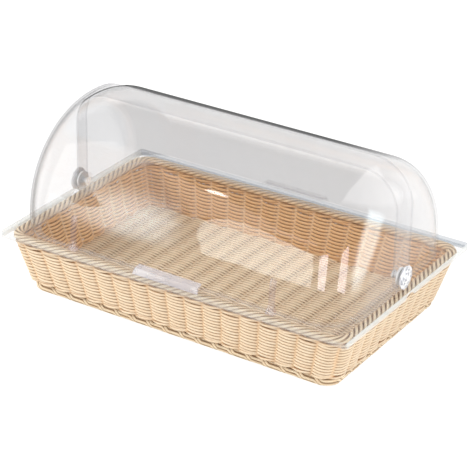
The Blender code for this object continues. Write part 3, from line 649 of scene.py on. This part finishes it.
def shell_skin(radius, half, corner):
    """One skin of the front shell from its crown forward and down to its foot, with pads round the pivot."""
    flat = radius - corner
    bend = [math.pi / 2 * k / CORNER_ARCS for k in range(CORNER_ARCS + 1)]
    right_end = [(half - corner + corner * math.sin(a), flat + corner * math.cos(a)) for a in bend]
    right_end += [(half, flat + (EDGE_DROP - flat) * k / END_STEPS) for k in range(1, END_STEPS + 1)]
    stations = [(-x, r) for x, r in reversed(right_end)] + right_end
    verts, faces = [], []
    row = SHELL_STEPS + 1
    for x, r in stations:
        first = math.acos(min(1.0, STRIP_HALF / r))
        last = math.pi + math.asin(min(1.0, EDGE_DROP / r))
        for k in range(row):
            a = first + (last - first) * k / SHELL_STEPS
            verts.append((x, r * math.cos(a), PIVOT + r * math.sin(a)))
    for j in range(len(stations) - 1):
        for k in range(SHELL_STEPS):
            a = j * row + k
            faces.append((a, a + 1, a + row + 1, a + row))
    for x, begin in ((-half, 0), (half, (len(stations) - 1) * row)):
        ring = list(range(begin, begin + row))
        spread = math.acos(STRIP_HALF / EDGE_DROP)
        pad = [(math.pi / 2 - spread) * k / PAD_STEPS for k in range(1, PAD_STEPS + 1)]
        turns = [3 * math.pi / 2 + a for a in pad] + [2 * math.pi]
        for a in turns:
            reach = STRIP_HALF if a == turns[-1] else EDGE_DROP
            ring.append(len(verts))
            verts.append((x, reach * math.cos(a), PIVOT + reach * math.sin(a)))
        hole = len(verts)
        for index in ring:
            a = math.atan2(verts[index][2] - PIVOT, verts[index][1])
            verts.append((x, PIVOT_HOLE * math.cos(a), PIVOT + PIVOT_HOLE * math.sin(a)))
        for k in range(len(ring)):
            m = (k + 1) % len(ring)
            face = (ring[k], ring[m], hole + m, hole + k)
            faces.append(face if x < 0 else face[::-1])
    return verts, faces


def shell(name, inset, turned, mats, body, slot):
    """A shell with its wall's thickness. The rear one is the same shape, half a turn round."""
    outer, faces = shell_skin(SHELL_RADIUS - inset, SHELL_HALF - inset, SHELL_CORNER - inset)
    inset += SHELL_WALL
    inner, _ = shell_skin(SHELL_RADIUS - inset, SHELL_HALF - inset, SHELL_CORNER - inset)
    shift = len(outer)
    walls = faces + [tuple(i + shift for i in face[::-1]) for face in faces]
    seen = {}
    for face in faces:
        for k, a in enumerate(face):
            b = face[(k + 1) % len(face)]
            seen.setdefault((min(a, b), max(a, b)), []).append((a, b))
    lips = [(b, a, a + shift, b + shift) for found in seen.values() if len(found) == 1 for a, b in found]
    verts = [(-x, -y, z) if turned else (x, y, z) for x, y, z in outer + inner]
    lip_faces = range(len(walls), len(walls) + len(lips))
    inner_faces = range(len(faces), len(walls))
    faces = walls + lips
    return solid(name, verts, faces, mats, body, slot, lip_faces, inner_faces, bevel=0.0004, smooth=50.0)


# Face-on the front shell is clearest, darker towards its outline. The rear shell's face-on band is painted
# darker as the shade of the room seen through it, and its ends painted clearer as light.
end_clear = (0.975, 0.975, 0.977)
front_thin = (0.92, 0.92, 0.925)
rear_thin = (0.92, 0.92, 0.922)
front_bands = [(0.56, end_clear), (0.70, front_thin)]
rear_bands = [(0.42, (0.80, 0.80, 0.805)), (0.50, rear_thin)]
shell_outer = clear_plastic(
    "shell_outer", front_thin, (0.86, 0.86, 0.865), 0.004, (0.93, 0.93, 0.95), 0.02,
    edge_from=0.84, most_gloss=0.3, bands=front_bands,
)
shell_inner = clear_plastic(
    "shell_inner", front_thin, (0.90, 0.90, 0.905), 0.004, (0.93, 0.93, 0.95), 0.02,
    edge_from=0.84, most_gloss=0.3, bands=front_bands,
)
# Painted shade: the rear shell's outer outline is nearly black, for the dark its edge refracts.
rear_outer = clear_plastic(
    "rear_outer", rear_thin, (0.04, 0.04, 0.045), 0.004, (0.9, 0.9, 0.92), 0.02,
    edge_from=0.77, most_gloss=0.14, bands=rear_bands, end_tint=end_clear,
)
rear_inner = clear_plastic(
    "rear_inner", rear_thin, (0.80, 0.80, 0.81), 0.004, (0.9, 0.9, 0.92), 0.02,
    most_gloss=0.3, bands=rear_bands, end_tint=end_clear,
)
shell_edge = clear_plastic(
    "shell_edge", (0.90, 0.895, 0.905), (0.70, 0.69, 0.72), 0.05, (0.95, 0.95, 0.96), 0.03, most_gloss=0.5
)
shell("front_cover_shell", 0.0, False, [shell_outer, shell_edge, shell_inner], "front_cover", "front_shell")
shell("rear_cover_shell", NESTED, True, [rear_outer, shell_edge, rear_inner], "rear_cover", "rear_shell")

# The handles.
# A sloping lip of the same acrylic is bonded outside each shell's lower edge, at its middle. Fingers lift it
# from below, and its polished back looks lavender against the straw.

HANDLE_HALF = 0.050
HANDLE_TAPER = 0.004
HANDLE_GAP = 0.0003
HANDLE_TOP = 0.0064
HANDLE_LOW = 0.0089
HANDLE_LIP = [(0.1609, 0.0074), (0.1645, 0.0160), (0.1620, 0.0160), (0.1584, 0.0099)]
HANDLE_STATIONS = (-1.0, -0.96, -0.5, 0.0, 0.5, 0.96, 1.0)


def handle(name, inset, turned, mat, body, slot):
    """The lip: one profile along X, drawn in a little towards its upper edge at both ends."""
    near = SHELL_RADIUS - inset + HANDLE_GAP
    profile = [(near, HANDLE_TOP), *HANDLE_LIP, (near, HANDLE_LOW)]
    lip_drop = HANDLE_LIP[1][1]
    verts = []
    for t in HANDLE_STATIONS:
        for out, drop in profile:
            reach = t * (HANDLE_HALF - HANDLE_TAPER * (lip_drop - drop) / lip_drop)
            verts.append((-reach, out, PIVOT - drop) if turned else (reach, -out, PIVOT - drop))
    count = len(profile)
    faces = loop_faces(count, len(HANDLE_STATIONS), closed_rows=False)
    faces += [tuple(range(count))[::-1], tuple(range(len(verts) - count, len(verts)))]
    return solid(name, verts, faces, [mat], body, slot, bevel=0.0007, smooth=25.0)


handle_clear = clear_plastic(
    "handle_clear", (0.90, 0.895, 0.915), (0.7, 0.7, 0.74), 0.26, (0.90, 0.89, 0.93), 0.02, most_gloss=0.05
)
handle_rear_clear = clear_plastic(
    "handle_rear_clear", (0.975, 0.975, 0.98), (0.85, 0.85, 0.87), 0.05, (0.95, 0.95, 0.97), 0.02
)
handle("front_cover_handle", 0.0, False, handle_clear, "front_cover", "front_handle")
handle("rear_cover_handle", NESTED, True, handle_rear_clear, "rear_cover", "rear_handle")

# The ribs.
# Two short clear ribs are bonded up the front shell's face. Each flares into a foot that stops the shell on
# the frame, and their edges catch the light as two pale lines.

RIB_PLACE = 0.152
RIB_GAP = 0.0003
RIB_LEVELS = [
    (0.031, 0.009, 0.0012),
    (0.0285, 0.009, 0.0018),
    (0.0207, 0.009, 0.0021),
    (0.0103, 0.009, 0.0021),
    (-0.002, 0.009, 0.0021),
    (-0.0055, 0.0094, 0.0026),
    (-0.009, 0.0107, 0.0042),
    (-0.0125, 0.0121, 0.0061),
    (-0.016, 0.013, 0.0075),
]
rib_clear = clear_plastic(
    "rib_clear", (0.95, 0.93, 0.95), (0.70, 0.66, 0.72), 0.03, (0.94, 0.91, 0.95), 0.02, most_gloss=0.3
)
for side, x in (("left", -RIB_PLACE), ("right", RIB_PLACE)):
    verts = []
    for z, width, thick in RIB_LEVELS:
        near = math.sqrt((SHELL_RADIUS + RIB_GAP) ** 2 - z * z)
        for sx, out in ((-1, 0), (1, 0), (1, 1), (-1, 1)):
            verts.append((x + sx * width / 2, -near - out * thick, PIVOT + z))
    faces = loop_faces(4, len(RIB_LEVELS), closed_rows=False)
    faces += [(0, 1, 2, 3), tuple(range(len(verts) - 4, len(verts)))]
    name, slot = side + "_cover_rib", side + "_rib"
    solid(name, verts, faces, [rib_clear], "front_cover", slot, bevel=0.0004, smooth=50.0)

# The screw knobs.
# Each end has a clear faceted knob moulded round the head of its screw, cut like a gem so that it grips. It
# clamps the shells' end walls against the lug just hard enough to hold them where they are left.

KNOB_FACETS = 12
KNOB_RINGS = [
    (0.2555, 0.0040, 0.0),
    (0.2555, 0.0150, 0.0),
    (0.2566, 0.0160, 0.0),
    (0.2580, 0.0160, 0.5),
    (0.2592, 0.0122, 0.0),
    (0.2602, 0.0083, 0.5),
    (0.2610, 0.0042, 0.0),
]
knob_clear = clear_plastic(
    "knob_clear", (0.97, 0.972, 0.98), (0.80, 0.81, 0.84), 0.75, (0.90, 0.91, 0.94), 0.03,
    edge_from=0.8, most_gloss=0.5,
)
# The grey facets of the right knob: painted shade.
knob_dark = clear_plastic(
    "knob_dark", (0.90, 0.91, 0.93), (0.75, 0.76, 0.80), 0.65, (0.60, 0.62, 0.68), 0.03, most_gloss=0.4
)
knob_white = clear_plastic("knob_white", (0.97, 0.97, 0.98), (0.9, 0.9, 0.92), 0.85, (1.0, 1.0, 1.0), 0.03)
for side, way, deep_mat in (("right", 1, knob_dark), ("left", -1, knob_white)):
    verts = []
    for x, radius, twist in KNOB_RINGS:
        for k in range(KNOB_FACETS):
            a = 2 * math.pi * (k + twist) / KNOB_FACETS
            verts.append((way * x, radius * math.cos(a), PIVOT + radius * math.sin(a)))
    count = KNOB_FACETS
    faces = []
    for j in range(len(KNOB_RINGS) - 1):
        step = KNOB_RINGS[j + 1][2] - KNOB_RINGS[j][2]
        for i in range(count):
            m = (i + 1) % count
            near, far = (j * count + i, j * count + m), ((j + 1) * count + i, (j + 1) * count + m)
            if step == 0:
                faces.append((near[0], near[1], far[1], far[0]))
            elif step > 0:
                faces += [(near[0], near[1], far[0]), (near[1], far[1], far[0])]
            else:
                faces += [(near[0], near[1], far[1]), (near[0], far[1], far[0])]
    # Every third facet is painted pale as a glint and the one after it painted grey as shade, or pale on the
    # left knob; the outer cap is pale too.
    pale = [n for n in range(count, len(faces)) if n % 3 == 0]
    deep = [n for n in range(count, len(faces)) if n % 3 == 1]
    faces += [tuple(range(count)), tuple(range(len(verts) - count, len(verts)))]
    pale.append(len(faces) - 1)
    mats = [knob_clear, knob_white, deep_mat]
    name, body = side + "_screw_knob", side + "_screw"
    solid(name, verts, faces, mats, body, side + "_knob", pale, deep, bevel=0.00015, smooth=4.0)

# The pivots' small parts.
# Clear lugs are solvent-welded to the frame and hold nickelled bushes. Steel studs run from the knobs into
# them, through natural nylon washers, which look milky beside the acrylic.

nylon = clear_plastic(
    "nylon_natural", (0.95, 0.95, 0.95), (0.80, 0.80, 0.82), 0.95, (0.94, 0.94, 0.93), 0.3, most_gloss=0.2
)
lug_clear = clear_plastic(
    "lug_clear", (0.985, 0.985, 0.988), (0.85, 0.85, 0.87), 0.01, (0.95, 0.95, 0.96), 0.05
)


def turned_metal(name, color, rough):
    """Turned metal: fine rings from the tool, with painted shade making them a little darker in their grooves.
    """
    s = Shader(name)
    coords = s.node("TexCoord").outputs["Object"]
    lathe = {"Vector": coords, "Scale": 900.0, "Distortion": 0.6}
    rings = s.node("TexWave", lathe, bands_direction="X").outputs["Fac"]
    smear = s.node("TexNoise", {"Vector": coords, "Scale": 260.0, "Detail": 2.0}).outputs["Fac"]
    low = tuple(0.8 * v for v in color)
    ring_shade_and_smear = s.math("ADD", s.math("MULTIPLY", rings, 0.5), s.math("MULTIPLY", smear, 0.5))
    base = s.ramp(ring_shade_and_smear, [(0.3, low), (0.7, color)])
    polish = s.math("ADD", rough, s.math("MULTIPLY", smear, 0.12))
    bump = s.node("Bump", {"Strength": 0.2, "Distance": 0.0001, "Height": rings}).outputs[0]
    metal = {"Base Color": base, "Metallic": 0.3, "Roughness": polish, "Normal": bump}
    return s.finish(s.node("BsdfPrincipled", metal).outputs[0])


def iron_wire(name):
    """Bright drawn wire under the straw: long faint scratches and a dull zinc bloom."""
    s = Shader(name)
    coords = s.node("TexCoord").outputs["Object"]
    bloom = s.node("TexNoise", {"Vector": coords, "Scale": 120.0, "Detail": 4.0}).outputs["Fac"]
    base = s.ramp(bloom, [(0.3, (0.42, 0.42, 0.43)), (0.7, (0.60, 0.60, 0.61))])
    polish = s.ramp(bloom, [(0.3, (0.30, 0.30, 0.30)), (0.7, (0.50, 0.50, 0.50))])
    made = s.node("BsdfPrincipled", {"Base Color": base, "Metallic": 1.0, "Roughness": polish})
    return s.finish(made.outputs[0])


zinc_wire = iron_wire("zinc_wire")
steel = turned_metal("stud_steel", (0.94, 0.94, 0.95), 0.38)
nickel = turned_metal("bush_nickel", (0.95, 0.94, 0.92), 0.42)
small_parts = {
    "pivot_lug": lug_clear,
    "lug_insert": nickel,
    "shell_spacer": nylon,
    "knob_washer": nylon,
    "stud": steel,
}
for side in ("left", "right"):
    for part, mat in small_parts.items():
        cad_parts[side + "_" + part].material_slots[0].material = mat
for part in ("rim_wire", "foot_wire"):
    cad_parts[part].material_slots[0].material = zinc_wire

# The camera and the studio.
# The camera stands where the photograph's did. The bin stands on a white sheet in a pale room, lit by a large
# lamp from each side, and the sheet and the room are white where they are seen.

PICTURE = 470
FOCAL_PIXELS = 1986.02
SENSOR = 36.0
CAMERA_PLACE = (1.25552, -1.98981, 1.27824)
AZIMUTH, ELEVATION, TILT = 0.5625, 0.4674, 0.02073
SHEET_HALF = 6

camera_data = bpy.data.cameras.new("camera")
camera = bpy.data.objects.new("camera", camera_data)
bpy.context.collection.objects.link(camera)
level = math.cos(ELEVATION)
back = Vector((math.sin(AZIMUTH) * level, -math.cos(AZIMUTH) * level, math.sin(ELEVATION)))
right = Vector((math.cos(AZIMUTH), math.sin(AZIMUTH), 0.0))
up = back.cross(right)
right, up = right * math.cos(TILT) + up * math.sin(TILT), up * math.cos(TILT) - right * math.sin(TILT)
camera.matrix_world = Matrix((right, up, back)).transposed().to_4x4()
camera.location = CAMERA_PLACE
camera_data.sensor_fit = "AUTO"
camera_data.sensor_width = SENSOR
camera_data.lens = FOCAL_PIXELS * SENSOR / PICTURE
bpy.context.scene.camera = camera


def seen_itself(s):
    """1 where the camera, a gloss or clear stock looks at it, and 0 where it only lights the bin."""
    rays = s.node("LightPath").outputs
    handed_on = s.math("MAXIMUM", rays["Is Glossy Ray"], rays["Is Transmission Ray"])
    return s.math("MAXIMUM", rays["Is Camera Ray"], handed_on)


s = Shader("studio_floor")
speck = s.node("TexNoise", {"Vector": s.node("TexCoord").outputs["Object"], "Scale": 90.0, "Detail": 2.0})
paper = s.ramp(speck.outputs["Fac"], [(0.3, (0.86, 0.86, 0.86)), (0.7, (0.88, 0.88, 0.88))])
table = s.node("BsdfDiffuse", {"Color": paper}).outputs[0]
shadowed = s.node("BsdfDiffuse", {"Color": (0.22, 0.22, 0.22, 1.0)}).outputs[0]
white = s.node("Emission", {"Color": (1.0, 1.0, 1.0, 1.0), "Strength": 0.9}).outputs[0]
bright = s.node("AddShader", {0: shadowed, 1: white}).outputs[0]
s.finish(s.node("MixShader", {0: seen_itself(s), 1: table, 2: bright}).outputs[0])
mesh = bpy.data.meshes.new("studio_floor")
corners = [(SHEET_HALF * x, SHEET_HALF * y, 0) for x, y in ((-1, -1), (1, -1), (1, 1), (-1, 1))]
mesh.from_pydata(corners, [], [(0, 1, 2, 3)])
mesh.materials.append(s.mat)
studio_floor = bpy.data.objects.new("studio_floor", mesh)
bpy.context.collection.objects.link(studio_floor)
studio_floor.visible_glossy = False

s = Shader("studio", room=True)
white = s.node("Background", {"Color": (1.0, 1.0, 1.0, 1.0)}).outputs[0]
room = s.node("Background", {"Color": (1.0, 0.985, 0.97, 1.0), "Strength": 0.78}).outputs[0]
bpy.context.scene.world = s.finish(s.node("MixShader", {0: seen_itself(s), 1: room, 2: white}).outputs[0])


def lamp(name, place, size, power):
    """A square lamp aimed at the bin's middle."""
    data = bpy.data.lights.new(name, "AREA")
    data.shape = "SQUARE"
    data.size = size
    data.energy = power
    ob = bpy.data.objects.new(name, data)
    bpy.context.collection.objects.link(ob)
    ob.location = place
    ob.rotation_euler = (Vector(BIN_MIDDLE) - Vector(place)).to_track_quat("-Z", "Y").to_euler()
    ob.visible_glossy = False


BIN_MIDDLE = (0, 0, 0.1)
lamp("key", (-2.2, -1.3, 1.5), 1.1, 48.0)
lamp("fill", (2.2, -0.9, 1.4), 1.4, 26.0)

# What the shells mirror.
# Grey flags stand over, beside and before the hood, and softboxes where the front shell throws the camera's
# look at each glare of the photograph. Only gloss sees them. The softboxes fade out to their outlines.


def mirrored(name, points, faces, lights, s, surface):
    """A flag or a softbox: one sheet, seen by glossy rays alone."""
    s.finish(surface)
    mesh = bpy.data.meshes.new(name)
    mesh.from_pydata(points, [], faces)
    light = mesh.attributes.new("light", "FLOAT", "POINT")
    light.data.foreach_set("value", lights)
    mesh.materials.append(s.mat)
    ob = bpy.data.objects.new(name, mesh)
    bpy.context.collection.objects.link(ob)
    for ray in ("camera", "diffuse", "transmission", "volume_scatter", "shadow"):
        setattr(ob, "visible_" + ray, False)


flags = {
    "flag_over": [(-7, -3.4, 2.6), (7, -3.4, 2.6), (7, 1.9, 2.6), (-7, 1.9, 2.6)],
    "flag_left": [(-3.2, -0.4, -4), (-3.2, 4.5, -4), (-3.2, 4.5, 1.2), (-3.2, -0.4, 1.2)],
    "flag_before": [(-7, -3.4, 2.6), (7, -3.4, 2.6), (7, -3.4, -4), (-7, -3.4, -4)],
}
for name, points in flags.items():
    s = Shader(name)
    cloth = s.node("TexNoise", {"Scale": 40.0, "Detail": 2.0}).outputs["Fac"]
    grey = s.ramp(cloth, [(0.3, (0.9, 0.9, 0.9)), (0.7, (1.0, 1.0, 1.0))])
    felt = s.node("Emission", {"Color": grey, "Strength": 0.3}).outputs[0]
    mirrored(name, points, [(0, 1, 2, 3)], [1.0] * 4, s, felt)

LOOK_STEPS = 120
SOFTBOX_FAR = 2.2
STRIP_FAR = 1.9


def shell_side(point):
    """How far a point lies outside the front shell, and which way is straight out there."""
    drum = math.hypot(point.y, point.z - PIVOT)
    end = max(abs(point.x) - (SHELL_HALF - SHELL_CORNER), 0.0)
    out = max(drum - (SHELL_RADIUS - SHELL_CORNER), 0.0)
    normal = Vector((math.copysign(end, point.x), out * point.y / drum, out * (point.z - PIVOT) / drum))
    return normal.length - SHELL_CORNER, normal.normalized()


def thrown(place, far):
    """Where the front shell throws the camera's look through a pixel of the photograph, so far off."""
    look = right * (place[0] - PICTURE / 2) - up * (place[1] - PICTURE / 2) - back * FOCAL_PIXELS
    look.normalize()
    point = Vector(CAMERA_PLACE)
    for _ in range(LOOK_STEPS):
        gap, normal = shell_side(point)
        point += look * (0.7 * gap)
    return tuple(point + far * (look - 2.0 * look.dot(normal) * normal))


def softbox(name, points, faces, lights, strength, soft, color):
    """A softbox that fades from its middle to its outline."""
    s = Shader("softbox_" + name)
    share = s.node("Attribute", attribute_name="light").outputs["Fac"]
    fade = s.node("MapRange", {0: share, 1: 0.0, 2: soft, 3: 0.0, 4: 1.0}, interpolation_type="SMOOTHSTEP")
    light = s.node("Emission", {"Color": (*color, 1.0), "Strength": strength}).outputs[0]
    nothing = s.node("BsdfTransparent").outputs[0]
    surface = s.node("MixShader", {0: fade.outputs[0], 1: nothing, 2: light}).outputs[0]
    mirrored("softbox_" + name, points, faces, lights, s, surface)


# Each glare's strength, softness, colour and outline in the photograph's pixels.

STRIP_COLOR = (0.97, 0.92, 1.0)
glares = {
    "left": (1.2, 0.15, (1.0, 1.0, 1.0), [
        (44, 207), (52, 172), (64, 146), (80, 136), (98, 134), (118, 142), (138, 153), (165, 170),
        (188, 190), (200, 212), (186, 228), (178, 247), (140, 243), (105, 231), (75, 222),
    ]),
    "back_veil": (1.2, 0.3, (1.0, 0.96, 0.96), [
        (140, 155), (170, 170), (207, 190), (243, 202), (280, 219), (310, 234), (318, 248), (290, 240),
        (250, 226), (215, 221), (197, 226), (180, 205), (160, 185),
    ]),
    "veil": (3.1, 0.06, (0.96, 1.0, 0.98), [
        (203, 238), (204, 230), (208, 224), (225, 221), (245, 223), (270, 230), (300, 242), (314, 249),
        (313, 270), (310, 289), (290, 283), (260, 272), (232, 264), (212, 258),
    ]),
    "line": (12.0, 0.5, (1.0, 1.0, 1.0), [
        (205, 190), (212, 190), (228, 194), (245, 201), (240, 201.5), (226, 197.5), (212, 193.5),
    ]),
    "strip_one": (5.0, 0.05, STRIP_COLOR, [
        (319, 260), (322, 255), (328.5, 254), (327, 272), (324.5, 293), (317, 290),
    ]),
    "strip_two": (5.0, 0.05, STRIP_COLOR, [
        (342, 254), (349.5, 244), (348, 270), (345, 295), (337, 292),
    ]),
    "bright": (6.0, 0.5, (0.85, 0.97, 1.0), [
        (368, 206), (380, 208), (388, 212), (384, 232), (376, 254), (368, 278), (360, 298), (350, 300),
        (350, 278), (355, 255), (361, 230),
    ]),
    "right_white": (2.0, 0.3, (1.0, 1.0, 1.0), [
        (338, 206), (345, 193), (355, 181), (367, 167), (377, 163), (386, 178), (394, 195), (396, 215),
        (380, 214), (360, 210),
    ]),
    "right_end": (1.4, 0.8, (1.0, 1.0, 1.0), [
        (386, 166), (402, 172), (416, 182), (428, 200), (433, 222), (432, 243), (420, 238), (405, 232),
        (399, 228), (399, 205), (392, 182),
    ]),
}
for name, (strength, soft, color, corners) in glares.items():
    outline = []
    for a, b in zip(corners, corners[1:] + corners[:1]):
        outline += [thrown(a, SOFTBOX_FAR), thrown(((a[0] + b[0]) / 2, (a[1] + b[1]) / 2), SOFTBOX_FAR)]
    middle = tuple(sum(point[k] for point in outline) / len(outline) for k in range(3))
    fan = [(0, k + 1, (k + 1) % len(outline) + 1) for k in range(len(outline))]
    softbox(name, [middle] + outline, fan, [1.0] + [0.0] * len(outline), strength, soft, color)

# A long strip light low on the left is brightest along its middle: its light at places along and across it, in
# the photograph's pixels.

STRIP_MIDDLE = (116, 209)
STRIP_SLANT = math.radians(14)
strip_along = {-70: 0.0, -50: 0.65, -25: 0.95, 0: 1.0, 25: 0.9, 50: 0.6, 80: 0.0}
strip_across = {-32: 0.0, -15: 0.55, 0: 1.0, 16: 0.7, 32: 0.0}
points, lights = [], []
for v, wide in strip_across.items():
    for u, long in strip_along.items():
        x = STRIP_MIDDLE[0] + u * math.cos(STRIP_SLANT) - v * math.sin(STRIP_SLANT)
        y = STRIP_MIDDLE[1] + u * math.sin(STRIP_SLANT) + v * math.cos(STRIP_SLANT)
        points.append(thrown((x, y), STRIP_FAR))
        lights.append(wide * long)
count = len(strip_along)
cells = []
for j in range(len(strip_across) - 1):
    for k in range(count - 1):
        a = count * j + k
        cells.append((a, a + 1, a + count + 1, a + count))
softbox("left_low", points, cells, lights, 5.5, 1.0, (0.85, 0.96, 1.0))

bpy.context.scene.view_settings.view_transform = "Standard"

# A look through both shells, a lug, its washers and a knob crosses more than eight clear faces.

bpy.context.scene.cycles.transparent_max_bounces = 32
